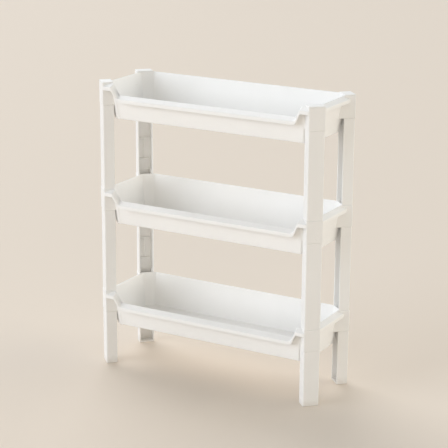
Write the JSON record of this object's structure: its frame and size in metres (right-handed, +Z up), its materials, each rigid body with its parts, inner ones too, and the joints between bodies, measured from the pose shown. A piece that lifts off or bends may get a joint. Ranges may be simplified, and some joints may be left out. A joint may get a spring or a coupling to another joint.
{
  "type": "basket storage rack",
  "caption": "Open storage rack of deep oblong trays stacked on plug-in corner posts, with a dipped front rim on each tray.",
  "frame": {"origin": "on the floor, under the middle of the rack", "axes": "+Z up, +X along the trays to the right as seen from the front, -Y towards the front with the dipped rims"},
  "size_m": [0.5084, 0.18, 0.6],
  "materials": {
    "trays": "satin white moulded polypropylene",
    "posts": "satin white moulded polypropylene",
    "caps": "satin white moulded polypropylene"
  },
  "bodies": {
    "root": {"tray_top": "trays", "tray_middle": "trays", "tray_bottom": "trays", "post_upper_front_right": "posts", "post_upper_front_left": "posts", "post_upper_rear_right": "posts", "post_upper_rear_left": "posts", "post_lower_front_right": "posts", "post_lower_front_left": "posts", "post_lower_rear_right": "posts", "post_lower_rear_left": "posts", "foot_front_right": "posts", "foot_front_left": "posts", "foot_rear_right": "posts", "foot_rear_left": "posts", "cap_front_right": "caps", "cap_front_left": "caps", "cap_rear_right": "caps", "cap_rear_left": "caps"}
  },
  "joints": []
}
